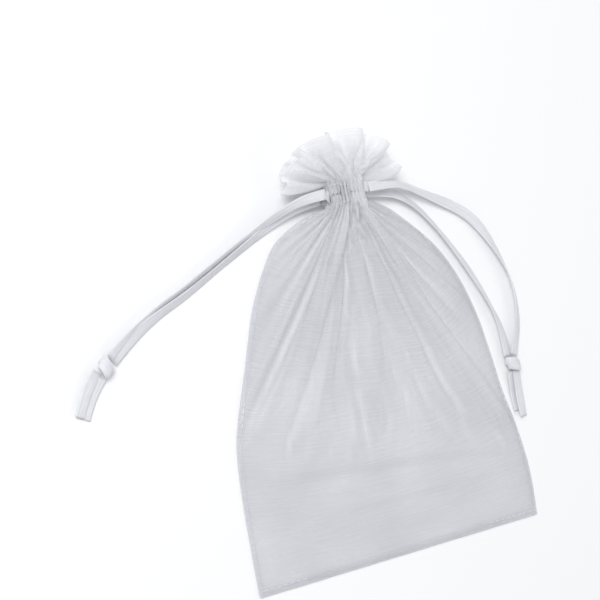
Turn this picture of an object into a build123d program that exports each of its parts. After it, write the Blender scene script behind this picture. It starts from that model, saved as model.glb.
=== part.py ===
from build123d import *
import os
from math import cos, tan, radians

# A sheer drawstring gift pouch, drawn shut and lying on its back.
# X runs across the pouch, Y from its bottom edge to its mouth, Z up from the surface it lies on.
# Places along the pouch are given as the distance from the bottom edge; lay() centres them on the
# origin. All sizes are in millimetres.

# ---- driving dimensions ----
LENGTH = 129.0          # bottom edge to the top of the header, drawn shut (150 when flat)
BOTTOM_WIDTH = 101.0    # across the bottom seam
CLOTH = 0.4             # thickness given to one sheet of cloth
SEAM_WIDTH = 1.5        # stitched seam along the sides and the bottom
SEAM_HEIGHT = 0.9
SEAM_CLEARANCE = 0.3    # between a side seam and the foot of the bulging front panel

NECK_Z = 5.8            # height of the middle of the drawn-in neck
NECK_RADII = (7.0, 5.5)         # half width and half height of the neck, outside
PLY = 0.7               # thickness of the gathered cloth on each side of the ribbon channel
CASING_START = 107.0    # the ribbon channel, between its two rows of stitching
CASING_END = 114.0
HALF_GAP = 0.15         # each half of the mouth stops this far from the middle
BODY_TOP = 106.5        # the panels below the mouth end here
STITCH = 0.3            # thickness of a row of stitching
STITCH_INSET = 0.8      # from the edge of the channel to the row

RIBBON_WIDTH = 3.2
RIBBON_THICKNESS = 0.4
RIBBON_CLEARANCE = 0.25     # between the ribbon and the cloth of its channel
RIBBON_MARGIN = 0.2         # from the edge of the channel to the ribbon
EXIT_GAP = 2.0              # width of the gap where a ribbon leaves its channel at the side

KNOT_LENGTH = 5.0
KNOT_WIDTH = 6.8
KNOT_HEIGHT = 4.4
KNOT_ROUNDING = 1.4

# The pouch from the bottom to the neck:
# distance along, left edge, right edge, height of the top of the bulge.
BODY_STATIONS = [
    (1.5, -50.3, 50.6, 1.2),
    (12.0, -50.2, 50.9, 3.6),
    (28.0, -50.0, 49.1, 6.0),
    (46.0, -48.2, 45.4, 8.2),
    (64.0, -41.8, 42.6, 10.0),
    (84.0, -34.2, 35.3, 12.4),
    (98.0, -25.0, 24.0, 12.6),
    (104.5, -16.0, 16.5, 11.8),
    (BODY_TOP, -9.0, 9.0, 11.4),
]

# The header above the neck: distance along, left edge, right edge,
# then for the front cloth the height at the middle, halfway out and at the side.
HEADER_STATIONS = [
    (117.0, 22.0, 19.5, 12.0, 10.6, 6.4),
    (122.5, 24.5, 17.0, 12.6, 11.4, 6.6),
    (LENGTH, 14.0, 10.0, 12.6, 11.6, 7.4),
]
BACK_HEADER_LIFT = 0.55     # how much flatter the back cloth of the header lies than the front

# The drawstrings outside the channel: across, along, height of the middle of the ribbon.
LEFT_FRONT_ROUTE = [
    (-7.6, 111.1, 7.6), (-14.0, 111.0, 6.6), (-21.5, 108.7, 4.0), (-29.4, 105.1, 1.9),
    (-42.2, 98.9, 1.75), (-56.3, 91.9, 1.75), (-66.3, 88.1, 1.75), (-75.1, 83.3, 1.75),
    (-83.6, 77.4, 1.75),
]
LEFT_BACK_ROUTE = [
    (-7.6, 109.9, 4.0), (-14.0, 108.9, 3.0), (-21.5, 105.9, 1.9), (-28.2, 101.9, 1.75),
    (-40.8, 95.7, 1.75), (-54.9, 88.7, 1.75), (-65.0, 84.9, 1.75), (-73.3, 80.3, 1.75),
    (-81.5, 74.8, 1.75),
]
LEFT_KNOT = (-84.5, 74.5, 39.9)     # across, along, direction in degrees
LEFT_OUTER_TAIL_ROUTE = [
    (-87.5, 74.2, 1.75), (-90.6, 70.6, 1.75), (-93.3, 66.6, 1.75), (-95.3, 62.6, 1.75),
]
LEFT_INNER_TAIL_ROUTE = [
    (-85.4, 71.6, 1.75), (-88.0, 68.4, 1.75), (-90.4, 64.9, 1.75), (-92.2, 61.2, 1.75),
]
RIGHT_FRONT_ROUTE = [
    (7.6, 111.1, 7.6), (13.8, 111.3, 6.9), (21.4, 110.2, 5.0), (29.6, 106.4, 2.6),
    (39.6, 101.6, 1.75), (46.4, 96.8, 1.75), (51.2, 90.2, 1.75), (54.8, 82.6, 1.75),
    (57.4, 75.0, 1.75), (57.9, 67.4, 1.75), (56.8, 60.4, 1.75), (55.0, 55.4, 1.75),
    (53.3, 51.0, 1.75),
]
RIGHT_BACK_ROUTE = [
    (7.6, 109.9, 4.0), (13.8, 109.3, 3.3), (20.8, 107.4, 2.2), (27.4, 102.8, 1.75),
    (32.8, 95.8, 1.75), (38.2, 87.4, 1.75), (42.9, 79.0, 1.75), (46.6, 71.0, 1.75),
    (49.2, 63.6, 1.75), (50.2, 57.0, 1.75), (49.9, 51.0, 1.75),
]
RIGHT_KNOT = (51.6, 48.5, 90.0)
RIGHT_OUTER_TAIL_ROUTE = [
    (53.3, 46.0, 1.75), (53.4, 41.2, 1.75), (53.6, 36.2, 1.75), (54.0, 31.4, 1.75),
]
RIGHT_INNER_TAIL_ROUTE = [
    (50.0, 46.0, 1.75), (49.9, 41.4, 1.75), (49.9, 37.2, 1.75), (50.1, 33.6, 1.75),
]


def lay(across, along, height=0.0):
    """A point of the lying pouch in the part's own frame."""
    return Vector(across, along - LENGTH / 2, height)


def save(solid, node):
    export_step(solid, f"parts/{node}.step")


def cross_section(along, height=0.0):
    """The plane across the pouch at one distance from the bottom, facing the mouth."""
    return Plane(origin=lay(0, along, height), x_dir=(1, 0, 0), z_dir=(0, 1, 0))


# ---- the panels and their seams ----
def flat_shape(outline, thickness):
    """A flat sheet resting on the surface, from its outline points (across, along)."""
    wire = Polyline(*[lay(across, along) for across, along in outline], close=True)
    return extrude(make_face(wire), amount=thickness)


def back_panel():
    left = [(left + SEAM_WIDTH, along) for along, left, _, _ in BODY_STATIONS]
    right = [(right - SEAM_WIDTH, along) for along, _, right, _ in BODY_STATIONS]
    return flat_shape(left + right[::-1], CLOTH)


def sheet_section(upper, lower):
    """A face between two arcs, each given by its start, middle and end points."""
    edges = [
        ThreePointArc(*upper),
        Line(upper[2], lower[2]),
        ThreePointArc(*lower),
        Line(lower[0], upper[0]),
    ]
    return make_face(edges)


def bulge_section(along, left, right, top):
    """The front panel cut across: a thin arch standing on the edges of the back panel."""
    start = left + SEAM_WIDTH + SEAM_CLEARANCE
    end = right - SEAM_WIDTH - SEAM_CLEARANCE
    middle = (start + end) / 2
    outer = [lay(start, along, CLOTH), lay(middle, along, top), lay(end, along, CLOTH)]
    inner = [
        lay(start + 2 * CLOTH, along, CLOTH),
        lay(middle, along, top - CLOTH),
        lay(end - 2 * CLOTH, along, CLOTH),
    ]
    return sheet_section(outer, inner)


def front_panel():
    return loft([bulge_section(*station) for station in BODY_STATIONS], ruled=True)


def side_seam(side):
    """The sewn edge of both panels; side is 1 for the left edge and 2 for the right one."""
    inward = SEAM_WIDTH if side == 1 else -SEAM_WIDTH
    outer = [(station[side], station[0]) for station in BODY_STATIONS]
    inner = [(across + inward, along) for across, along in outer]
    return flat_shape(outer + inner[::-1], SEAM_HEIGHT)


def bottom_seam():
    half = BOTTOM_WIDTH / 2
    return flat_shape([(-half, 0), (half, 0), (half, SEAM_WIDTH), (-half, SEAM_WIDTH)], SEAM_HEIGHT)


# ---- the drawn-in neck ----
def ring(depth, thickness, start, end):
    """Part of the neck's oval ring, depth inside its outer face and between two distances along."""
    plane = cross_section(start, NECK_Z)
    outer = plane * Ellipse(NECK_RADII[0] - depth, NECK_RADII[1] - depth)
    inner = plane * Ellipse(NECK_RADII[0] - depth - thickness, NECK_RADII[1] - depth - thickness)
    return extrude(outer - inner, amount=end - start, dir=(0, 1, 0))


def half_space(side, low, high):
    """A block over one half of the mouth, side -1 left and 1 right, between two heights."""
    width = 4 * NECK_RADII[0]
    middle = lay(side * (HALF_GAP + width / 2), (CASING_START + CASING_END) / 2, (low + high) / 2)
    return Pos(*middle) * Box(width, 3 * (CASING_END - CASING_START), high - low)


NECK_LOW = NECK_Z - 2 * NECK_RADII[1]
NECK_HIGH = NECK_Z + 2 * NECK_RADII[1]


def front_casing(side):
    outer_ply = ring(0, PLY, CASING_START, CASING_END)
    return outer_ply & half_space(side, NECK_Z + EXIT_GAP / 2, NECK_HIGH)


def back_casing(side):
    outer_ply = ring(0, PLY, CASING_START, CASING_END)
    return outer_ply & half_space(side, NECK_LOW, NECK_Z - EXIT_GAP / 2)


def casing_facing(side):
    """The turned-down edge of the cloth, which is the inner wall of the channel."""
    depth = PLY + 2 * RIBBON_CLEARANCE + RIBBON_THICKNESS
    inner_ply = ring(depth, PLY, CASING_START, CASING_END)
    return inner_ply & half_space(side, NECK_LOW, NECK_HIGH)


def stitching(side, along):
    """One half of a row of stitches around the neck, on the outside of the cloth."""
    row = ring(-STITCH, STITCH, along - STITCH, along + STITCH)
    return row & half_space(side, NECK_LOW, NECK_HIGH)


def casing_run(side, start):
    """The ribbon inside its channel: round the whole neck, from its exit and back to it."""
    band = ring(PLY + RIBBON_CLEARANCE, RIBBON_THICKNESS, start, start + RIBBON_WIDTH)
    exit_gap = Pos(*lay(side * NECK_RADII[0], start, NECK_Z)) * Box(
        NECK_RADII[0], 4 * RIBBON_WIDTH, EXIT_GAP)
    return band - exit_gap


# ---- the header ----
def header_sections(side, facing):
    """Sections of one quarter of the header; facing is 1 for the front cloth, -1 for the back."""
    half_width, half_height = NECK_RADII
    diagonal = cos(radians(45))
    middle = side * HALF_GAP

    def arc(along, points, inset):
        return [lay(across, along, NECK_Z + facing * (rise - inset)) for across, rise in points]

    def neck_arc(inset):
        width, height = half_width - inset, half_height - inset
        points = [(middle, height), (side * width * diagonal, height * diagonal), (side * width, HALF_GAP)]
        return arc(CASING_END, points, 0)

    sections = [sheet_section(neck_arc(0), neck_arc(CLOTH))]
    for along, left, right, centre, halfway, edge in HEADER_STATIONS:
        reach = left if side < 0 else right
        lift = 0 if facing > 0 else BACK_HEADER_LIFT
        points = [
            (middle, centre - NECK_Z - 2 * lift),
            (side * reach / 2, halfway - NECK_Z - lift),
            (side * reach, edge - NECK_Z),
        ]
        sections.append(sheet_section(arc(along, points, 0), arc(along, points, CLOTH)))
    return sections


def header(side, facing):
    return loft(header_sections(side, facing), ruled=True)


# ---- the drawstrings outside the channel ----
def arc_radii(points):
    """The radius of each bend: as large as its two runs allow."""
    radii = []
    for before, corner, after in zip(points, points[1:], points[2:]):
        first, second = corner - before, after - corner
        turn = first.get_angle(second)
        radii.append(0.45 * min(first.length, second.length) / tan(radians(turn / 2)))
    return radii


def ribbon_tube(route, name):
    """The space of a flat ribbon along its route: a tube as thick as the ribbon is wide."""
    points = [lay(*place) for place in route]
    radii = arc_radii(points)
    path = FilletPolyline(*points, radius=radii)
    profile = Plane(origin=path @ 0, z_dir=path % 0) * Circle(RIBBON_WIDTH / 2)
    tube = sweep(profile, path=path)
    expected = profile.area * path.length
    print(f"{name}: length {path.length:.1f}, smallest radius {min(radii):.1f}, "
          f"volume over section times length {tube.volume / expected:.4f}")
    return tube


def knot(across, along, direction):
    """The overhand knot that joins the two ends of a ribbon."""
    block = Box(KNOT_LENGTH, KNOT_WIDTH, KNOT_HEIGHT)
    block = fillet(block.edges(), radius=KNOT_ROUNDING)
    return Pos(*lay(across, along, KNOT_HEIGHT / 2)) * Rot(0, 0, direction) * block


def make_pouch():
    save(back_panel(), "back_panel")
    save(front_panel(), "front_panel")
    save(side_seam(1), "left_side_seam")
    save(side_seam(2), "right_side_seam")
    save(bottom_seam(), "bottom_seam")


def make_mouth(side, name):
    save(front_casing(side), f"{name}_front_casing")
    save(back_casing(side), f"{name}_back_casing")
    save(casing_facing(side), f"{name}_casing_facing")
    save(header(side, 1), f"{name}_front_header")
    save(header(side, -1), f"{name}_back_header")
    save(stitching(side, CASING_START + STITCH_INSET), f"{name}_lower_stitching")
    save(stitching(side, CASING_END - STITCH_INSET), f"{name}_upper_stitching")


def make_drawstring(side, name, run_start, place, routes):
    save(casing_run(side, run_start), f"{name}_drawstring_casing_run")
    save(knot(*place), f"{name}_drawstring_knot")
    for piece, route in routes.items():
        node = f"{name}_drawstring_{piece}"
        save(ribbon_tube(route, node), node)


os.makedirs("parts", exist_ok=True)
make_pouch()
make_mouth(-1, "left")
make_mouth(1, "right")
make_drawstring(-1, "left", CASING_START + RIBBON_MARGIN, LEFT_KNOT, {
    "front_strand": LEFT_FRONT_ROUTE,
    "back_strand": LEFT_BACK_ROUTE,
    "outer_tail": LEFT_OUTER_TAIL_ROUTE,
    "inner_tail": LEFT_INNER_TAIL_ROUTE,
})
make_drawstring(1, "right", CASING_END - RIBBON_MARGIN - RIBBON_WIDTH, RIGHT_KNOT, {
    "front_strand": RIGHT_FRONT_ROUTE,
    "back_strand": RIGHT_BACK_ROUTE,
    "outer_tail": RIGHT_OUTER_TAIL_ROUTE,
    "inner_tail": RIGHT_INNER_TAIL_ROUTE,
})
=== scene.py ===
"""A sheer drawstring gift pouch, drawn shut and lying on its back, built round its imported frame."""
from math import cos, pi, radians, sin, tau

import bpy
import numpy as np
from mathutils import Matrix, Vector


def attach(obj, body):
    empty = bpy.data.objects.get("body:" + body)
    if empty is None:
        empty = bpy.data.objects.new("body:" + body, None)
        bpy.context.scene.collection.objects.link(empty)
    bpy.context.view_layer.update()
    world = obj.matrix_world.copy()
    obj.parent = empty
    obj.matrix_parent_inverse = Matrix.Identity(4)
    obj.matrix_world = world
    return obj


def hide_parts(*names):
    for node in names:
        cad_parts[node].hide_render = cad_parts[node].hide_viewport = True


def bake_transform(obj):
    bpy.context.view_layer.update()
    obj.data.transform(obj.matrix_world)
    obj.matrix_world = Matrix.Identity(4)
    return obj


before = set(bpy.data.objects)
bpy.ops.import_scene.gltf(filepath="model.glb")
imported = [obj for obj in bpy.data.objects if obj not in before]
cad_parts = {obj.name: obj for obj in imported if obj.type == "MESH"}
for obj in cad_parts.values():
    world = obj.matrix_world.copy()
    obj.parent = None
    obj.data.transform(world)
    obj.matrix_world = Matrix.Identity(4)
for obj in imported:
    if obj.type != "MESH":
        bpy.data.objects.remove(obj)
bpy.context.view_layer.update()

MM = 0.001
UV_UNIT = 0.01          # uv maps are in centimetres of cut cloth or ribbon
LENGTH = 129.0          # bottom edge to the top of the header, drawn shut
NECK = (0.0, 110.5, 5.8)        # middle of the neck: across, along, height


def lay(across, along, height):
    """A place on the lying pouch, in millimetres from its bottom edge, as a point of the frame."""
    return Vector((across, along - LENGTH / 2, height)) * MM


# ---------------------------------------------------------------- camera
camera = bpy.data.objects.new("camera", bpy.data.cameras.new("camera"))
bpy.context.scene.collection.objects.link(camera)
bpy.context.scene.camera = camera
camera.data.sensor_width = 36
camera.data.lens = 100
camera.location = (-0.2610, 0.0277, 0.4307)
camera.rotation_euler = (radians(4.96), radians(-28.99), radians(-12.61))
camera.data.clip_start = 0.01

# ---------------------------------------------------------------- routes of the ribbons
# Control points across, along and height in millimetres, as the frame has them.
ROUTES = {
    "left_drawstring_front_strand": [
        (-7.6, 111.1, 7.6), (-14.0, 110.8, 6.6), (-21.5, 108.2, 4.4), (-29.4, 104.6, 2.4),
        (-42.2, 98.2, 1.6), (-56.3, 91.2, 1.5), (-66.3, 87.2, 1.6), (-75.1, 82.2, 1.6),
        (-82.6, 76.5, 1.8)],
    "left_drawstring_back_strand": [
        (-7.6, 109.9, 4.0), (-14.0, 109.2, 3.1), (-21.5, 106.6, 2.0), (-28.6, 103.2, 1.4),
        (-41.3, 96.9, 1.3), (-55.4, 89.8, 1.3), (-65.5, 85.8, 1.2), (-74.2, 81.2, 1.1),
        (-81.9, 75.6, 1.2)],
    "left_drawstring_outer_tail": [
        (-87.0, 73.8, 1.6), (-89.9, 70.2, 1.2), (-92.4, 66.3, 1.0), (-94.3, 62.3, 0.9)],
    "left_drawstring_inner_tail": [
        (-85.9, 72.0, 1.2), (-88.6, 68.7, 0.5), (-91.0, 65.0, 0.4), (-92.8, 61.4, 0.4)],
    "right_drawstring_front_strand": [
        (7.6, 111.1, 7.6), (13.8, 111.3, 6.9), (21.4, 110.2, 5.0), (29.6, 106.4, 2.8),
        (39.6, 101.6, 1.7), (46.4, 96.8, 1.6), (51.2, 90.2, 1.6), (54.8, 82.6, 1.6),
        (57.4, 75.0, 1.6), (57.9, 67.4, 1.6), (56.8, 60.4, 1.6), (54.6, 55.4, 1.7),
        (52.6, 51.0, 1.9)],
    "right_drawstring_back_strand": [
        (7.6, 109.9, 4.0), (13.8, 109.3, 3.3), (20.8, 107.4, 2.2), (27.4, 102.8, 1.5),
        (32.8, 95.8, 1.5), (38.2, 87.4, 1.5), (42.9, 79.0, 1.5), (46.6, 71.0, 1.5),
        (49.4, 63.6, 1.4), (50.6, 57.0, 1.2), (50.6, 51.0, 1.4)],
    "right_drawstring_outer_tail": [
        (52.6, 46.0, 1.6), (52.5, 41.2, 1.2), (52.5, 36.2, 1.0), (52.7, 31.4, 0.9)],
    "right_drawstring_inner_tail": [
        (51.0, 46.0, 1.2), (51.0, 41.4, 0.5), (51.1, 37.2, 0.4), (51.5, 33.6, 0.4)],
}

# Where a ribbon turns on its edge: share of its length, degrees.
TWISTS = {
    "left_drawstring_front_strand": ([0, 0.12, 0.3, 0.55, 0.8, 1], [0, -30, -48, -44, -50, -20]),
    "left_drawstring_back_strand": ([0, 0.15, 0.3, 0.5, 0.75, 0.9, 1],
                                    [0, -20, -42, -50, -36, -15, 0]),
    "left_drawstring_outer_tail": ([0, 0.5, 1], [-16, -10, -14]),
    "left_drawstring_inner_tail": ([0, 0.5, 1], [-4, 5, 0]),
    "right_drawstring_front_strand": ([0, 0.12, 0.26, 0.4, 0.5, 0.6, 0.7, 0.85, 1],
                                      [0, -38, -30, 12, 6, -30, -56, -40, -18]),
    "right_drawstring_back_strand": ([0, 0.15, 0.4, 0.6, 0.8, 0.92, 1],
                                     [0, -34, -46, -34, -46, -20, 0]),
    "right_drawstring_outer_tail": ([0, 0.6, 1], [-14, -8, -16]),
    "right_drawstring_inner_tail": ([0, 0.5, 1], [4, -5, 3]),
}
RIBBON_WIDTH = 3.2
RIBBON_THICKNESS = 0.34


# ---------------------------------------------------------------- mesh helpers
def new_object(name, vertices, faces, uv=None, material=None, smooth=True, values=None):
    """A mesh object; vertices in metres, uv one pair and values a dict of numbers per vertex."""
    mesh = bpy.data.meshes.new(name)
    mesh.from_pydata([tuple(v) for v in vertices], [], faces)
    mesh.update()
    if uv is not None:
        layer = mesh.uv_layers.new(name="cut")
        corner = np.empty(len(mesh.loops), int)
        mesh.loops.foreach_get("vertex_index", corner)
        layer.data.foreach_set("uv", np.asarray(uv, np.float32)[corner].ravel())
    for key, value in (values or {}).items():
        attribute = mesh.attributes.new(key, "FLOAT", "POINT")
        attribute.data.foreach_set("value", np.asarray(value, np.float32))
    if smooth:
        mesh.shade_smooth()
    if material:
        mesh.materials.append(material)
    made = bpy.data.objects.new(name, mesh)
    bpy.context.scene.collection.objects.link(made)
    return made


def grid_faces(rows, columns, closed=False):
    """Quads of a grid whose vertices run row by row."""
    wide = columns if closed else columns - 1
    return [(i * columns + j, i * columns + (j + 1) % columns,
             (i + 1) * columns + (j + 1) % columns, (i + 1) * columns + j)
            for i in range(rows - 1) for j in range(wide)]


def uv_pairs(across, along):
    """One uv pair per vertex of a grid, row by row, from what runs across it and along it."""
    return np.stack(np.broadcast_arrays(across, along), -1).reshape(-1, 2)


def evaluated_mesh(made):
    """A mesh as the object looks with its modifiers, or a curve's points as a mesh."""
    graph = bpy.context.evaluated_depsgraph_get()
    return bpy.data.meshes.new_from_object(made.evaluated_get(graph))


def smoothed_once(made):
    modifier = made.modifiers.new("smooth", "SUBSURF")
    modifier.levels = modifier.render_levels = 1


def run_along(points):
    """Distance from the first point along the line to each point."""
    steps = np.linalg.norm(np.diff(points, axis=0), axis=1)
    return np.concatenate([[0], np.cumsum(steps)])


def unit(v):
    return v / np.maximum(np.linalg.norm(v, axis=-1, keepdims=True), 1e-12)


def spline_points(route):
    """Points along the NURBS line that has the route's places as its control points, in metres."""
    curve = bpy.data.curves.new("line", "CURVE")
    curve.dimensions = "3D"
    curve.resolution_u = 10
    spline = curve.splines.new("NURBS")
    spline.points.add(len(route) - 1)
    for point, place in zip(spline.points, route):
        point.co = (*lay(*place), 1)
    spline.order_u = 3
    spline.use_endpoint_u = True
    holder = bpy.data.objects.new("line", curve)
    bpy.context.scene.collection.objects.link(holder)
    bpy.context.view_layer.update()
    mesh = evaluated_mesh(holder)
    points = np.array([v.co[:] for v in mesh.vertices])
    bpy.data.objects.remove(holder)
    bpy.data.curves.remove(curve)
    bpy.data.meshes.remove(mesh)
    return points


def band(points, widthwise, width, thickness, cup=0.0, ends=True):
    """Vertices, faces and uv of a flat ribbon along points. widthwise is the unit direction across
    it at each point. Its woven edges are a little thicker than its middle."""
    along = unit(np.gradient(points, axis=0))
    across = unit(widthwise - (widthwise * along).sum(1, keepdims=True) * along)
    normal = np.cross(along, across)
    places = np.array([-1, -0.9, -0.72, -0.4, 0, 0.4, 0.72, 0.9, 1])
    depth = np.array([0.35, 1.0, 0.72, 0.7, 0.7, 0.7, 0.72, 1.0, 0.35])
    loop_w = np.concatenate([places, places[::-1]]) * width / 2
    loop_h = np.concatenate([depth, -depth[::-1]]) * thickness / 2
    loop_h = loop_h + cup * (1 - (loop_w / (width / 2)) ** 2)
    count = len(loop_w)
    vertices = (points[:, None] + across[:, None] * loop_w[None, :, None]
                + normal[:, None] * loop_h[None, :, None]).reshape(-1, 3)
    faces = grid_faces(len(points), count, closed=True)
    if ends:
        faces += [tuple(range(count))[::-1],
                  tuple((len(points) - 1) * count + k for k in range(count))]
    return vertices, faces, uv_pairs(loop_w[None] / UV_UNIT, run_along(points)[:, None] / UV_UNIT)


def turned(along, degrees):
    """The direction across a ribbon that lies flat, turned about its own line."""
    flat = unit(np.cross(np.array([0, 0, 1.0]), along))
    angle = np.radians(degrees)[:, None]
    return flat * np.cos(angle) + np.cross(along, flat) * np.sin(angle)


# ---------------------------------------------------------------- materials
WEFT_PERIOD = 0.032         # centimetres between crossing threads
WARP_PERIOD = 0.028
PAINTED_FOLD_HIGHLIGHT = (0.97, 0.97, 0.985)     # painted highlight: gathers and the crests of folds are painted paler than the cloth


def shader(name):
    made = bpy.data.materials.new(name)
    made.use_nodes = True
    tree = made.node_tree
    tree.nodes.clear()
    output = tree.nodes.new("ShaderNodeOutputMaterial")
    return made, tree, output


def node(tree, kind, inputs=None, **settings):
    made = tree.nodes.new("ShaderNode" + kind)
    for key, value in settings.items():
        setattr(made, key, value)
    for key, value in (inputs or {}).items():
        if isinstance(value, bpy.types.NodeSocket):
            tree.links.new(value, made.inputs[key])
        else:
            made.inputs[key].default_value = value
    return made


def math(tree, operation, *values):
    made = node(tree, "Math", operation=operation)
    for socket, value in zip(made.inputs, values):
        if isinstance(value, bpy.types.NodeSocket):
            tree.links.new(value, socket)
        else:
            socket.default_value = value
    return made.outputs[0]


def noise(tree, vector, scale, detail, roughness):
    return node(tree, "TexNoise", {"Vector": vector, "Scale": scale, "Detail": detail,
                                   "Roughness": roughness}, noise_dimensions="2D").outputs[0]


def stretched(tree, vector, across, along):
    """The cut coordinates scaled, so that a noise comes out long across or along the cloth."""
    return node(tree, "Mapping", {"Vector": vector, "Scale": (across, along, 1.0)}).outputs[0]


def mixed_colour(tree, factor, low, high):
    """low and high are sockets or three numbers."""
    low, high = (c if isinstance(c, bpy.types.NodeSocket) else tuple(c) + (1,) for c in (low, high))
    return node(tree, "Mix", {0: factor, 6: low, 7: high}, data_type="RGBA").outputs[2]


def shade(tint, share):
    return tuple(c * share for c in tint)


def wave(tree, value, period, wander, swing):
    """A sine with the given period in centimetres, its lines wandering by the noise."""
    return math(tree, "SINE", math(tree, "ADD", math(tree, "MULTIPLY", value, tau / period),
                                   math(tree, "MULTIPLY", wander, swing)))


def organza(name, cover, tint):
    """Sheer woven nylon: crossing threads with slubs, and gaps that let what is behind show. The
    crests of folds and the gathers get a painted highlight.
    """
    made, tree, output = shader(name)
    cut = node(tree, "UVMap", uv_map="cut").outputs[0]        # centimetres across and along
    split = node(tree, "SeparateXYZ", {0: cut})
    across, along = split.outputs[0], split.outputs[1]
    # the threads wander a little, so their lines are not ruled
    wander = noise(tree, cut, 1.6, 2.0, 0.5)
    weft = wave(tree, along, WEFT_PERIOD, wander, 9.0)
    warp = wave(tree, across, WARP_PERIOD, wander, 5.0)
    threads = math(tree, "MULTIPLY", math(tree, "MAXIMUM", weft, warp), 0.5)
    # slubs: thicker stretches of weft, long across and thin along
    slub = noise(tree, stretched(tree, cut, 0.9, 26.0), 1.0, 3.0, 0.6)
    bands = noise(tree, stretched(tree, cut, 0.5, 8.0), 1.0, 2.0, 0.5)
    cloud = noise(tree, cut, 0.45, 2.0, 0.5)
    # the fold attribute places a painted highlight, mixing the colour towards the pale highlight
    # tint; it also thickens the cloth's cover there
    fold = node(tree, "Attribute", attribute_name="fold").outputs[2]
    density = math(tree, "ADD", cover, math(tree, "MULTIPLY", threads, 0.12))
    for texture, amount in ((slub, 0.15), (bands, 0.07), (cloud, 0.24)):
        change = math(tree, "MULTIPLY", math(tree, "SUBTRACT", texture, 0.5), amount)
        density = math(tree, "ADD", density, change)
    density = math(tree, "ADD", density, math(tree, "MULTIPLY", fold, 0.22))
    density = math(tree, "MINIMUM", math(tree, "MAXIMUM", density, 0.08), 0.97)
    tone = node(tree, "MapRange", {"Value": slub, "From Min": 0.3, "From Max": 0.7}).outputs[0]
    plain = mixed_colour(tree, tone, shade(tint, 0.98), tint)
    # painted highlight: the crests of folds and the gathers are painted paler
    colour = mixed_colour(tree, fold, plain, PAINTED_FOLD_HIGHLIGHT)
    bump = node(tree, "Bump", {"Height": math(tree, "ADD", threads, slub), "Strength": 0.2,
                               "Distance": 0.0001}).outputs[0]
    face = node(tree, "BsdfPrincipled", {
        "Base Color": colour, "Roughness": 0.42, "Normal": bump, "Specular IOR Level": 0.45,
        "Sheen Weight": 0.35, "Sheen Roughness": 0.4}).outputs[0]
    through = node(tree, "BsdfTranslucent", {"Color": colour}).outputs[0]
    cloth = node(tree, "MixShader", {0: 0.5, 1: face, 2: through}).outputs[0]
    clear = node(tree, "BsdfTransparent", {"Color": (1, 1, 1, 1)}).outputs[0]
    sheer = node(tree, "MixShader", {0: density, 1: clear, 2: cloth}).outputs[0]
    tree.links.new(sheer, output.inputs[0])
    return made


def satin(name, tint):
    """Woven satin ribbon: fine lengthwise threads, a soft sheen and a slight pucker."""
    made, tree, output = shader(name)
    cut = node(tree, "UVMap", uv_map="cut").outputs[0]        # centimetres across and along
    split = node(tree, "SeparateXYZ", {0: cut})
    threads = noise(tree, stretched(tree, cut, 26.0, 0.8), 1.0, 3.0, 0.6)
    picks = math(tree, "SINE", math(tree, "MULTIPLY", split.outputs[1], tau / 0.035))
    pucker = noise(tree, cut, 2.2, 2.0, 0.5)
    height = math(tree, "ADD", math(tree, "MULTIPLY", threads, 0.9),
                  math(tree, "ADD", math(tree, "MULTIPLY", picks, 0.12),
                       math(tree, "MULTIPLY", pucker, 1.6)))
    bump = node(tree, "Bump", {"Height": height, "Strength": 0.55,
                               "Distance": 0.0002}).outputs[0]
    tone = node(tree, "MapRange", {"Value": threads, "From Min": 0.3, "From Max": 0.7}).outputs[0]
    colour = mixed_colour(tree, tone, shade(tint, 0.86), tint)
    rough = node(tree, "MapRange", {"Value": threads, "From Min": 0.3, "From Max": 0.7,
                                    "To Min": 0.42, "To Max": 0.28}).outputs[0]
    face = node(tree, "BsdfPrincipled", {
        "Base Color": colour, "Roughness": rough, "Normal": bump, "Specular IOR Level": 0.6,
        "Anisotropic": 0.4, "Sheen Weight": 0.25}).outputs[0]
    through = node(tree, "BsdfTranslucent", {"Color": colour}).outputs[0]
    cloth = node(tree, "MixShader", {0: 0.22, 1: face, 2: through}).outputs[0]
    tree.links.new(cloth, output.inputs[0])
    return made


def thread_material(name, tint):
    """Spun sewing thread."""
    made, tree, output = shader(name)
    place = node(tree, "TexCoord").outputs["Object"]
    fibre = node(tree, "TexNoise", {"Vector": place, "Scale": 2600.0, "Detail": 2.0}).outputs[0]
    colour = mixed_colour(tree, fibre, shade(tint, 0.8), tint)
    bump = node(tree, "Bump", {"Height": fibre, "Strength": 0.4, "Distance": 0.0001}).outputs[0]
    face = node(tree, "BsdfPrincipled", {"Base Color": colour, "Roughness": 0.6, "Normal": bump,
                                          "Sheen Weight": 0.3}).outputs[0]
    tree.links.new(face, output.inputs[0])
    return made


ORGANZA = organza("organza", 0.36, (0.73, 0.73, 0.76))
# the seams' paler tint is a painted highlight on their folded edges; their higher cover is the
# doubled cloth
ORGANZA_SEAM = organza("organza_seam", 0.42, (0.87, 0.87, 0.90))
SATIN = satin("satin_ribbon", (0.88, 0.885, 0.92))
THREAD = thread_material("sewing_thread", (0.80, 0.81, 0.85))


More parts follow.
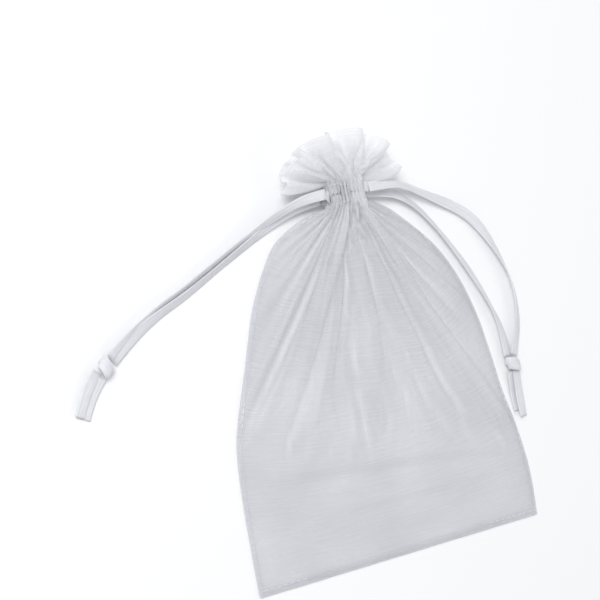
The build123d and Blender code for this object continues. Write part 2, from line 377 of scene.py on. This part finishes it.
# ---------------------------------------------------------------- the cloth, drawn in by simulation
SIDE = 100              # columns across one panel
TURN = 2 * SIDE         # columns round the pouch
CUT_HALF = 50.0         # half the width the panels are cut to
CUT_LENGTH = 150.0
CHANNEL_LOW, CHANNEL_HIGH = 121.0, 129.0        # the sewn channel, along the cut cloth
CHANNEL_AT = 107.0      # where the channel starts once it is drawn shut
DRAWN_CHANNEL = 7 / 8   # how much of its cut depth the channel keeps
FRONT_MIDDLE, BACK_MIDDLE = 112.3, 109.5        # cloth below the channel at the middle
HEADER_EASE = 0.88      # share of the header's cut depth that it is simulated with
GROW = 10.0             # the cloth is simulated ten times its size
FRAMES = 34
DRAWN_BY = 22           # frame at which the channel is drawn in; the rest is settling
PRESSURE = 0.1          # fills the pouch out a little while it is drawn in
NECK_RADII = (5.35, 4.0)        # of the drawn-in channel: across and in height
RISE_FROM = 98.0        # along the cut cloth, where it starts to rise to the neck
GATHERS_FROM = 84.0     # along the cut cloth, where the gathers start to show
RUFFLE = 2.7            # how far the header's edge waves
LOWEST_CLOTH = 0.12

# The side seams once it is drawn shut: across, along.
LEFT_SIDE = [
    (-50.5, 0), (-50.4, 12), (-50.0, 28), (-49.0, 41), (-46.9, 50), (-41.6, 64), (-34.4, 83),
    (-25.0, 98.0), (-16.5, 104.0), (-9.5, 106.6), (-6.0, 107.0)]
RIGHT_SIDE = [
    (50.5, 0), (51.0, 10), (50.6, 19), (48.7, 31), (46.2, 42), (44.6, 53), (42.3, 66),
    (38.0, 79), (32.0, 89.5), (24.0, 98.0), (16.5, 103.8), (9.5, 106.6), (6.0, 107.0)]
# Top edge of the header, left to right: across, along, height for the front and the back panel.
FAN = [
    (-22.5, 113.5, 6.4, 6.0), (-24.0, 118.5, 8.8, 4.0), (-19.5, 123.5, 10.6, 3.2),
    (-11.0, 127.5, 11.4, 2.8), (-2.0, 129.0, 11.6, 2.8), (6.5, 127.8, 11.4, 2.8),
    (14.0, 124.0, 10.8, 3.2), (19.5, 119.0, 9.0, 3.8), (20.0, 114.5, 6.6, 6.0)]


def smooth_line(places, shares):
    """Points at shares of the length of a smooth line through places."""
    places = np.array(places, float)
    padded = np.vstack([2 * places[0] - places[1], places, 2 * places[-1] - places[-2]])
    fine = []
    for a, b, c, d in zip(padded, padded[1:], padded[2:], padded[3:]):
        t = np.linspace(0, 1, 20, endpoint=False)[:, None]
        fine.append(0.5 * (2 * b + (c - a) * t + (2 * a - 5 * b + 4 * c - d) * t ** 2
                           + (3 * b - a - 3 * c + d) * t ** 3))
    fine = np.vstack([*fine, places[-1:]])
    run = run_along(fine)
    at = np.asarray(shares) * run[-1]
    return np.stack([np.interp(at, run, fine[:, k]) for k in range(places.shape[1])], -1)


column = np.arange(TURN)
on_front = column <= SIDE
share = np.where(on_front, column / SIDE, 2 - column / SIDE)      # 0 at the left side, 1 right
cut_across = CUT_HALF * (2 * share - 1)
# 1 on the front panel, -1 on the back panel, 0 at the side seams
outward_side = np.where(column % SIDE == 0, 0.0, np.where(on_front, 1.0, -1.0))
cut_along = np.concatenate([
    np.linspace(0, CHANNEL_LOW, 88)[:-1], np.linspace(CHANNEL_LOW, CHANNEL_HIGH, 7)[:-1],
    np.linspace(CHANNEL_HIGH, CUT_LENGTH, 17)])
ROWS = len(cut_along)
random = np.random.default_rng(7)


def pleat_depths():
    """How far each column stands out at the neck: pleats of uneven width and depth, -1 to 1."""
    depth = np.zeros(TURN)
    for start in (0, SIDE):
        edges = np.cumsum(random.uniform(0.65, 1.35, 15))
        edges = np.concatenate([[0], edges / edges[-1]]) * SIDE
        peaks = random.uniform(0.7, 1.0, 15)
        for low, high, peak in zip(edges, edges[1:], peaks):
            for k in range(int(np.ceil(low)), int(np.ceil(high))):
                depth[start + k] = -peak * np.cos(tau * (k - low) / (high - low))
    return depth


DEPTHS = pleat_depths()


def neck_ring(spread):
    """The drawn-in cloth at one place in the channel: across and height of each column.
    spread is 0 where a ribbon pulls tightest and 1 at the stitching."""
    angle = np.where(on_front, pi * (1 - share), -pi * (1 - share))
    swing = DEPTHS * (1.35 + 0.15 * spread)
    wide = NECK_RADII[0] + 0.35 * spread + swing
    high = NECK_RADII[1] + 0.35 * spread + swing * 0.8
    return wide * np.cos(angle), NECK[2] + high * np.sin(angle)


def header_edge():
    """Where the top edge of the header is pulled to: a fan with a ruffle in it."""
    fan = smooth_line(FAN, share)
    ruffle = (np.sin(tau * 5.2 * share + 0.8 * outward_side)
              + 0.4 * np.sin(tau * 2.7 * share + 2.2 * outward_side))
    lift = np.where(on_front, 1.0, 0.75)
    back_setback = np.where(on_front, 0, 1.2)

    def at(out):
        swell = sin(pi / 2 * out) * RUFFLE * ruffle
        height = np.where(on_front, fan[:, 2], fan[:, 3]) + swell * lift * np.sin(pi * share) ** 0.5
        return np.stack([fan[:, 0] + 0.4 * swell, fan[:, 1] - back_setback, height], 1)
    return at


def flat_row(s):
    """The pouch laid flat at a distance along its cut. Its cloth has a little more length at the
    sides than at the middle, so that it lies smooth once it is drawn shut."""
    edge_share = np.abs(cut_across) / CUT_HALF
    top = np.where(on_front, FRONT_MIDDLE + 12.2 * edge_share ** 2.5,
                   BACK_MIDDLE + 15.0 * edge_share ** 2.2)
    channel = min(max(s - CHANNEL_LOW, 0), CHANNEL_HIGH - CHANNEL_LOW)
    along = (min(s / CHANNEL_LOW, 1) * top + channel
             + HEADER_EASE * max(s - CHANNEL_HIGH, 0))
    return np.stack([cut_across, along, 0.9 + 0.5 * outward_side], 1)


def held_row(s, edge_at):
    """Where the cloth is held at a distance along its cut, and how firmly, for each column."""
    below = min(s / CHANNEL_LOW, 1)
    if s >= CHANNEL_LOW:
        centre = (CHANNEL_LOW + CHANNEL_HIGH) / 2
        x, z = neck_ring(min(abs(s - centre) / 4, 1) ** 2)
        along = CHANNEL_AT + (min(s, CHANNEL_HIGH) - CHANNEL_LOW) * DRAWN_CHANNEL
        ring = np.stack([x, np.full(TURN, along), z], 1)
        if s <= CHANNEL_HIGH + 0.01:
            return ring, np.ones(TURN)
        out = (s - CHANNEL_HIGH) / (CUT_LENGTH - CHANNEL_HIGH)
        return ring * (1 - out) + edge_at(out) * out, np.full(TURN, 0.5 * max(out - 0.3, 0) / 0.7)
    if s == 0:
        bottom = np.stack([cut_across * 1.01, np.zeros(TURN), 0.5 + 0.2 * outward_side], 1)
        return bottom, np.ones(TURN)
    left = smooth_line(LEFT_SIDE, [below])[0]
    right = smooth_line(RIGHT_SIDE, [below])[0]
    rise = 0.45 + 5.35 * max(0, (s - RISE_FROM) / (CHANNEL_LOW - RISE_FROM)) ** 2
    bulge = np.where(on_front, 11 * sin(min(1, below * 1.2) * pi / 2), 0.2)
    held = np.stack([left[0] + (right[0] - left[0]) * share,
                     left[1] + (right[1] - left[1]) * share,
                     rise + (1 - (2 * share - 1) ** 2) * bulge], 1)
    return held, np.where(column % SIDE == 0, 1.0, 0.0)


def cloth_shapes():
    """The cloth laid flat and as it is held when drawn shut, and how firmly each point is held."""
    edge_at = header_edge()
    flat = np.array([flat_row(s) for s in cut_along])
    held, grip = zip(*(held_row(s, edge_at) for s in cut_along))
    return flat, np.array(held), np.array(grip)


def draw_shut():
    """Simulates the flat pouch being drawn in at its channel; its cloth in millimetres."""
    flat, held, grip = cloth_shapes()
    mesh = bpy.data.meshes.new("flat_pouch")
    mesh.from_pydata((flat.reshape(-1, 3) * MM * GROW).tolist(), [],
                     grid_faces(ROWS, TURN, closed=True))
    cloth = bpy.data.objects.new("flat_pouch", mesh)
    scene = bpy.context.scene
    scene.collection.objects.link(cloth)
    group = cloth.vertex_groups.new(name="held")
    grip = np.round(grip.reshape(-1), 2)
    for strength in np.unique(grip[grip > 0]):
        group.add(np.nonzero(grip == strength)[0].tolist(), float(strength), "REPLACE")
    cloth.shape_key_add(name="Basis")
    drawn = cloth.shape_key_add(name="drawn")
    drawn.data.foreach_set("co", (held.reshape(-1) * MM * GROW))
    for frame_number, value in ((1, 0), (DRAWN_BY, 1)):
        drawn.value = value
        drawn.keyframe_insert("value", frame=frame_number)
    modifier = cloth.modifiers.new("cloth", "CLOTH")
    settings, contact = modifier.settings, modifier.collision_settings
    settings.quality = 6
    settings.mass = 0.02
    settings.air_damping = 4
    settings.tension_stiffness, settings.compression_stiffness = 40, 30
    settings.shear_stiffness, settings.bending_stiffness = 8, 1.6
    settings.tension_damping = settings.compression_damping = 8
    settings.shear_damping, settings.bending_damping = 5, 0.8
    settings.vertex_group_mass = "held"
    settings.pin_stiffness = 1
    settings.use_pressure = True
    settings.uniform_pressure_force = PRESSURE
    settings.effector_weights.gravity = 0.3
    contact.distance_min = 0.003
    contact.collision_quality = 2
    contact.use_self_collision = True
    contact.self_distance_min = 0.003
    contact.self_friction = 2
    modifier.point_cache.frame_end = FRAMES
    bpy.ops.mesh.primitive_plane_add(size=6)
    ground = bpy.context.object
    ground.modifiers.new("ground", "COLLISION")
    ground.collision.thickness_outer = 0.003
    ground.collision.cloth_friction = 3
    scene.frame_start, scene.frame_end = 1, FRAMES
    for number in range(1, FRAMES + 1):
        scene.frame_set(number)
    result = evaluated_mesh(cloth)
    places = np.empty(len(result.vertices) * 3)
    result.vertices.foreach_get("co", places)
    for o in (cloth, ground):
        bpy.data.objects.remove(o)
    for m in (mesh, result):
        bpy.data.meshes.remove(m)
    return places.reshape(ROWS, TURN, 3) / (MM * GROW)


cloth = draw_shut()
for _ in range(3):         # the header's crumples are softened a little; the channel stays
    near = (np.roll(cloth, 1, 1) + np.roll(cloth, -1, 1)) / 2
    soften = np.clip((cut_along - CHANNEL_HIGH) / 5, 0, 1)[:, None, None] * 0.45
    cloth = cloth * (1 - soften) + near * soften
# the gathers in the channel are uneven, and its edges are not quite straight
turn_angle = column * tau / TURN
uneven = (0.45 * np.sin(3 * turn_angle + 0.6) + 0.3 * np.sin(7 * turn_angle + 2.1)
          + 0.22 * np.sin(17 * turn_angle))
from_middle = cut_along - (CHANNEL_LOW + CHANNEL_HIGH) / 2
near_channel = np.exp(-(from_middle / 9.0) ** 4)[:, None]
cloth[..., 1] += near_channel * uneven * np.sign(np.clip(from_middle, -3, 3) + 0.5)[:, None] * 0.8
cloth[..., 2] = np.maximum(cloth[..., 2], LOWEST_CLOTH)


def in_frame(places):
    """Millimetres from the bottom edge to metres in the frame."""
    return (places - np.array([0, LENGTH / 2, 0])) * MM


def grid_normals(grid):
    """Outward normals of the tube of cloth."""
    around = np.roll(grid, -1, 1) - np.roll(grid, 1, 1)
    along = np.gradient(grid, axis=0)
    return unit(np.cross(along, around))


def follow_mouth(piece):
    """piece's transform is baked into its mesh and its vertex places are read; it is not moved with
    the mouth."""
    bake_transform(piece)
    rest = np.empty(len(piece.data.vertices) * 3)
    piece.data.vertices.foreach_get("co", rest)


def around_mean(values, reach):
    """Mean over the columns within reach, all the way round."""
    return sum(np.roll(values, k, 1) for k in range(-reach, reach + 1)) / (2 * reach + 1)


normals = grid_normals(cloth)
# painted highlight mask: the crests of folds and the gathers are painted paler; how far each point
# stands out from its neighbours
crest = ((cloth - (np.roll(cloth, 2, 1) + np.roll(cloth, -2, 1)) / 2) * normals).sum(-1)
depth = np.sqrt(around_mean(crest ** 2, 6)) + 0.02
fold = np.clip(crest / depth / 1.4, 0, 1) ** 3 * np.clip(depth / 0.18, 0, 1)
fold = fold * np.clip(around_mean(random.uniform(-1.2, 2.6, (1, TURN)), 4), 0.15, 1)
for _ in range(3):         # smooth along the folds
    fold[1:-1] = (fold[:-2] + fold[1:-1] + fold[2:]) / 3
# the gathers towards the neck get the painted highlight as well
gathered = np.clip((cut_along - GATHERS_FROM) / (CHANNEL_LOW - GATHERS_FROM), 0, 1)[:, None] ** 1.5
fold = np.clip(fold + 0.75 * gathered, 0, 1)


def panel(name, columns):
    """One panel of cloth, from the given columns of the tube."""
    places = cloth[:, columns]
    count = places.shape[:2]
    made = new_object(name, in_frame(places.reshape(-1, 3)), grid_faces(*count),
                      uv=uv_pairs(cut_across[columns][None] / 10, cut_along[:, None] / 10),
                      material=ORGANZA, values={"fold": fold[:, columns].reshape(-1)})
    smoothed_once(made)
    follow_mouth(made)
    return made


front_columns = np.arange(0, SIDE + 1)
back_columns = np.arange(SIDE, TURN + 1) % TURN
front_panel = panel("front_panel_cloth", front_columns)
back_panel = panel("back_panel_cloth", back_columns)
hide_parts("front_panel", "left_front_casing", "right_front_casing",
            "left_front_header", "right_front_header")
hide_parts("back_panel", "left_back_casing", "right_back_casing",
            "left_back_header", "right_back_header")


def facing_cloth():
    """The turned-down top edge, sewn inside: from the top fold down to the lower stitching."""
    first = int(np.searchsorted(cut_along, CHANNEL_LOW - 0.01))
    outer = cloth[first:]
    distance = cut_along[first:]
    # in the header it lies against the panels, in the channel it leaves room for the ribbons
    from_top = np.clip((CUT_LENGTH - distance) / 3, 0, 1)[:, None, None]
    inside = outer - normals[first:] * 0.35 * from_top
    radial = outer - np.array([0, 0, NECK[2]])
    radial[..., 1] = 0
    gathered = outer - unit(radial) * np.array([1.9, 0, 1.6])
    mixed = np.clip((distance - CHANNEL_HIGH) / 4, 0, 1)[:, None, None]
    places = gathered * (1 - mixed) + inside * mixed
    places[..., 2] = np.maximum(places[..., 2], 0.3)
    closed = np.concatenate([places, places[:, :1]], 1)
    count = closed.shape[:2]
    # its weave is laid a little off the panels' weave
    uv = uv_pairs(np.arange(TURN + 1)[None] / 10 + 0.013, distance[:, None] / 10 + 0.017)
    folds = np.concatenate([fold[first:], fold[first:, :1]], 1)
    made = new_object("casing_facing_cloth", in_frame(closed.reshape(-1, 3)), grid_faces(*count),
                      uv=uv, material=ORGANZA, values={"fold": folds.reshape(-1)})
    smoothed_once(made)
    follow_mouth(made)
    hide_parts("left_casing_facing", "right_casing_facing")
    return made


hem = facing_cloth()


# ---------------------------------------------------------------- seams and stitching
def surface(row, columns, outward):
    """Places on the cloth at a distance along the cut and at fractional columns."""
    i = np.clip(np.searchsorted(cut_along, row) - 1, 0, ROWS - 2)
    f = (row - cut_along[i]) / (cut_along[i + 1] - cut_along[i])
    j = np.floor(columns).astype(int)
    g = (columns - j)[:, None]
    grid = cloth + normals * outward

    def at(k):
        return grid[k][j % TURN] * (1 - g) + grid[k][(j + 1) % TURN] * g
    return at(i) * (1 - f) + at(i + 1) * f


def stitches(starts, ends, radius):
    """Short threads from each start to each end, six-sided and tapered, as one mesh."""
    sides = 6
    angle = np.arange(sides) * tau / sides
    steps = [(0.0, 0.35), (0.18, 1.0), (0.82, 1.0), (1.0, 0.35)]
    direction = unit(ends - starts)
    helper = unit(np.cross(direction, np.array([0.31, 0.17, 0.93])))
    other = np.cross(direction, helper)
    rings = []
    spokes = (helper[:, None] * np.cos(angle)[None, :, None]
              + other[:, None] * np.sin(angle)[None, :, None])
    for f, wide in steps:
        centre = starts * (1 - f) + ends * f
        rings.append(centre[:, None] + radius * wide * spokes)
    vertices = np.stack(rings, 1).reshape(-1, 3)
    faces = []
    for k in range(len(starts)):
        base = k * len(steps) * sides
        for r in range(len(steps) - 1):
            for c in range(sides):
                a, b = base + r * sides + c, base + r * sides + (c + 1) % sides
                faces.append((a, b, b + sides, a + sides))
        faces.append(tuple(base + c for c in range(sides))[::-1])
        faces.append(tuple(base + (len(steps) - 1) * sides + c for c in range(sides)))
    return vertices, faces, len(steps) * sides


def channel_stitching(name, row, *nodes):
    """One row of stitches round the channel, at a distance along the cut cloth."""
    starts = np.arange(0, TURN, 1.6)
    ends = starts + 1.2
    vertices, faces, each = stitches(surface(row, starts, 0.1), surface(row, ends, 0.1), 0.13)
    made = new_object(name, in_frame(vertices), faces, material=THREAD)
    follow_mouth(made)
    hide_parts(*nodes)
    return made


channel_stitching("lower_channel_stitching", CHANNEL_LOW + 0.8,
                  "left_lower_stitching", "right_lower_stitching")
channel_stitching("upper_channel_stitching", CHANNEL_HIGH - 0.8,
                  "left_upper_stitching", "right_upper_stitching")


def side_seam(name, cut_side, node_name):
    """The sewn edge of both panels, folded over, with its line of stitches."""
    edge_column = 0 if cut_side < 0 else SIDE
    rows = slice(0, int(np.searchsorted(cut_along, CHANNEL_LOW - 0.01)) + 1)

    def beside(columns_in, lift):
        """The cloth's edge a number of columns round from the seam, lifted off the cloth."""
        at = (edge_column + columns_in) % TURN
        return cloth[rows, at] + normals[rows, at] * lift

    bulge = cloth[rows, edge_column] + np.array([cut_side * 0.35, 0, 0])
    rounded = np.array([0, 0, 0.16])
    places = np.stack([beside(-1, 0.12), bulge - rounded, bulge + rounded, beside(1, 0.16)], 1)
    places[..., 2] = np.maximum(places[..., 2], 0.06)
    fine = np.stack([places[:, 0], (places[:, 0] + places[:, 1]) / 2, places[:, 1], places[:, 2],
                     (places[:, 2] + places[:, 3]) / 2, places[:, 3]], 1)
    count = fine.shape[:2]
    distance = cut_along[rows]
    made = new_object(name, in_frame(fine.reshape(-1, 3)), grid_faces(*count),
                      uv=uv_pairs(np.linspace(0, 0.6, count[1])[None], distance[:, None] / 10),
                      material=ORGANZA_SEAM, values={"fold": np.zeros(count[0] * count[1])})
    follow_mouth(made)
    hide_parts(node_name)
    starts_at = np.arange(1.5, CHANNEL_LOW - 2, 2.2)
    line = beside(-cut_side, 0.22)
    starts = np.stack([np.interp(starts_at, distance, line[:, k]) for k in range(3)], 1)
    ends = np.stack([np.interp(starts_at + 1.7, distance, line[:, k]) for k in range(3)], 1)
    vertices, faces, each = stitches(starts, ends, 0.08)
    sewn = new_object(name + "_stitching", in_frame(vertices), faces, material=THREAD)
    follow_mouth(sewn)
    return made


side_seam("left_side_seam_cloth", -1, "left_side_seam")
side_seam("right_side_seam_cloth", 1, "right_side_seam")


def bottom_seam():
    """The sewn bottom edge: both panels folded over, 2 mm deep, with its line of stitches."""
    across = np.linspace(-50.5, 50.5, 102)
    # along and height, from the top of the front panel round the edge and under the back panel
    profile = [(2.0, 1.05), (1.2, 1.1), (0.15, 0.95), (-0.15, 0.6), (0.1, 0.28), (1.2, 0.16),
               (2.0, 0.16)]
    ripple = 0.06 * np.sin(across * 0.31) + 0.04 * np.sin(across * 0.83 + 1)
    places = np.array([[(x, y, max(z + r, 0.06)) for y, z in profile]
                       for x, r in zip(across, ripple)])
    count = places.shape[:2]
    made = new_object("bottom_seam_cloth", in_frame(places.reshape(-1, 3)), grid_faces(*count),
                      uv=uv_pairs(across[:, None] / 10, np.linspace(0, 0.5, count[1])[None]),
                      material=ORGANZA_SEAM, values={"fold": np.zeros(count[0] * count[1])})
    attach(made, "pouch")
    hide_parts("bottom_seam")
    starts_x = np.arange(-49.6, 48, 2.2)
    starts = np.stack([starts_x, np.full_like(starts_x, 1.75), np.full_like(starts_x, 1.2)], 1)
    vertices, faces, each = stitches(starts, starts + np.array([1.7, 0, 0]), 0.08)
    sewn = new_object("bottom_seam_stitching", in_frame(vertices), faces, material=THREAD)
    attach(sewn, "pouch")


bottom_seam()


# ---------------------------------------------------------------- ribbons and knots
def ribbon(name):
    """One free stretch of drawstring along its route, with its line of points."""
    points = spline_points(ROUTES[name])
    run = run_along(points)
    shares, degrees = TWISTS[name]
    line = unit(np.gradient(points, axis=0))
    across = turned(line, np.interp(run / run[-1], shares, degrees))
    vertices, faces, uv = band(points, across, RIBBON_WIDTH * MM, RIBBON_THICKNESS * MM,
                               cup=0.12 * MM)
    made = new_object(name + "_ribbon", vertices, faces, uv=uv, material=SATIN)
    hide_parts(name)
    return made, points, run[-1]


def knot(name, place, direction):
    """A small overhand knot pulled tight in the doubled ribbon: the ribbon wraps it slantwise."""
    t = np.linspace(0, 1, 120)
    angle = tau * 1.9 * t - 0.9
    snug = np.clip(np.minimum(t, 1 - t) / 0.14, 0, 1)
    snug = 0.45 + 0.55 * snug * snug * (3 - 2 * snug)
    line = np.stack([2.5 * (t - 0.5) + 0.9 * np.cos(angle), 2.1 * snug * np.cos(angle),
                     1.3 * snug * np.sin(angle)], 1)
    along = unit(np.gradient(line, axis=0))
    outward = unit(line * np.array([0.25, 1, 1.4]))
    across = unit(np.cross(outward, along))
    vertices, faces, uv = band(line * MM, across, 2.5 * MM, 0.5 * MM, cup=0.3 * MM)
    angle = radians(direction)
    turn = np.array([[cos(angle), -sin(angle), 0], [sin(angle), cos(angle), 0], [0, 0, 1]])
    vertices = vertices @ turn.T + np.array(lay(place[0], place[1], 1.9))
    made = new_object(name + "_knot_ribbon", vertices, faces, uv=uv, material=SATIN)
    smoothed_once(made)
    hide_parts(name + "_knot")
    return made


def casing_run(side, name, middle_along):
    """The ribbon inside its channel: in at one side, across the front and back behind."""
    front, back = (ROUTES[f"{name}_{strand}"][0] for strand in ("front_strand", "back_strand"))
    columns = np.arange(2, TURN - 1) if side < 0 else np.arange(SIDE - 2, -SIDE + 1, -1) % TURN
    row = CHANNEL_LOW + (middle_along - CHANNEL_AT) / DRAWN_CHANNEL
    inside = surface(row, columns.astype(float), 0.0)
    radial = inside * np.array([1, 0, 1]) - np.array([0, 0, NECK[2]])
    inside = inside - unit(radial) * np.array([0.95, 0, 0.8])
    line = np.vstack([front, inside, back])
    # its ends go exactly as far as the strands they meet
    points = in_frame(line)
    across = np.broadcast_to(np.array([0, 1.0, 0]), points.shape)
    vertices, faces, uv = band(points, across, 3.1 * MM, 0.2 * MM)
    made = new_object(name + "_casing_run_ribbon", vertices, faces, uv=uv, material=SATIN)
    follow_mouth(made)
    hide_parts(name + "_casing_run")
    return made


# Each drawstring: its half of the mouth, the place and direction of its knot, the side it comes
# out at, and where its middle runs in the channel.
DRAWSTRINGS = {
    "left_drawstring": ("mouth_left", (-84.5, 74.5), 39.9, -1, 108.8),
    "right_drawstring": ("mouth_right", (51.6, 48.5), 90.0, 1, 112.2),
}
for name, (mouth, place, direction, side, middle_along) in DRAWSTRINGS.items():
    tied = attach(knot(name, place, direction), name)
    casing_run(side, name, middle_along)
    tails = []
    for tail in ("outer_tail", "inner_tail"):
        tails.append(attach(ribbon(f"{name}_{tail}")[0], name))
    for strand, held in (("front_strand", [tied, *tails]), ("back_strand", [])):
        made, points, length = ribbon(f"{name}_{strand}")
        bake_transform(made)


def stage_material():
    """A plain pale board."""
    made, tree, output = shader("studio_floor")
    face = node(tree, "BsdfPrincipled", {"Base Color": (0.86, 0.86, 0.87, 1),
                                          "Roughness": 0.7}).outputs[0]
    tree.links.new(face, output.inputs[0])
    return made


floor = new_object("floor", [(-3, -3, 0), (3, -3, 0), (3, 3, 0), (-3, 3, 0)], [(0, 1, 2, 3)],
                   material=stage_material(), smooth=False)

world = bpy.data.worlds.new("studio")
bpy.context.scene.world = world
world.use_nodes = True
sky = world.node_tree.nodes["Background"]
sky.inputs["Color"].default_value = (0.97, 0.98, 1.0, 1)
sky.inputs["Strength"].default_value = 0.62


def soft_light(name, place, aim, size, power):
    """A round area light, turned to face a point."""
    data = bpy.data.lights.new(name, "AREA")
    data.shape = "DISK"
    data.size = size
    data.energy = power
    made = bpy.data.objects.new(name, data)
    bpy.context.scene.collection.objects.link(made)
    made.location = place
    made.rotation_euler = (Vector(aim) - Vector(place)).to_track_quat("-Z", "Y").to_euler()


soft_light("key", (-0.45, 0.35, 0.75), (0, 0.02, 0), 0.45, 5.5)
soft_light("fill", (0.7, -0.3, 0.6), (0, 0, 0), 0.6, 1.2)
bpy.context.scene.view_settings.view_transform = "Standard"
bpy.context.scene.cycles.transparent_max_bounces = 40
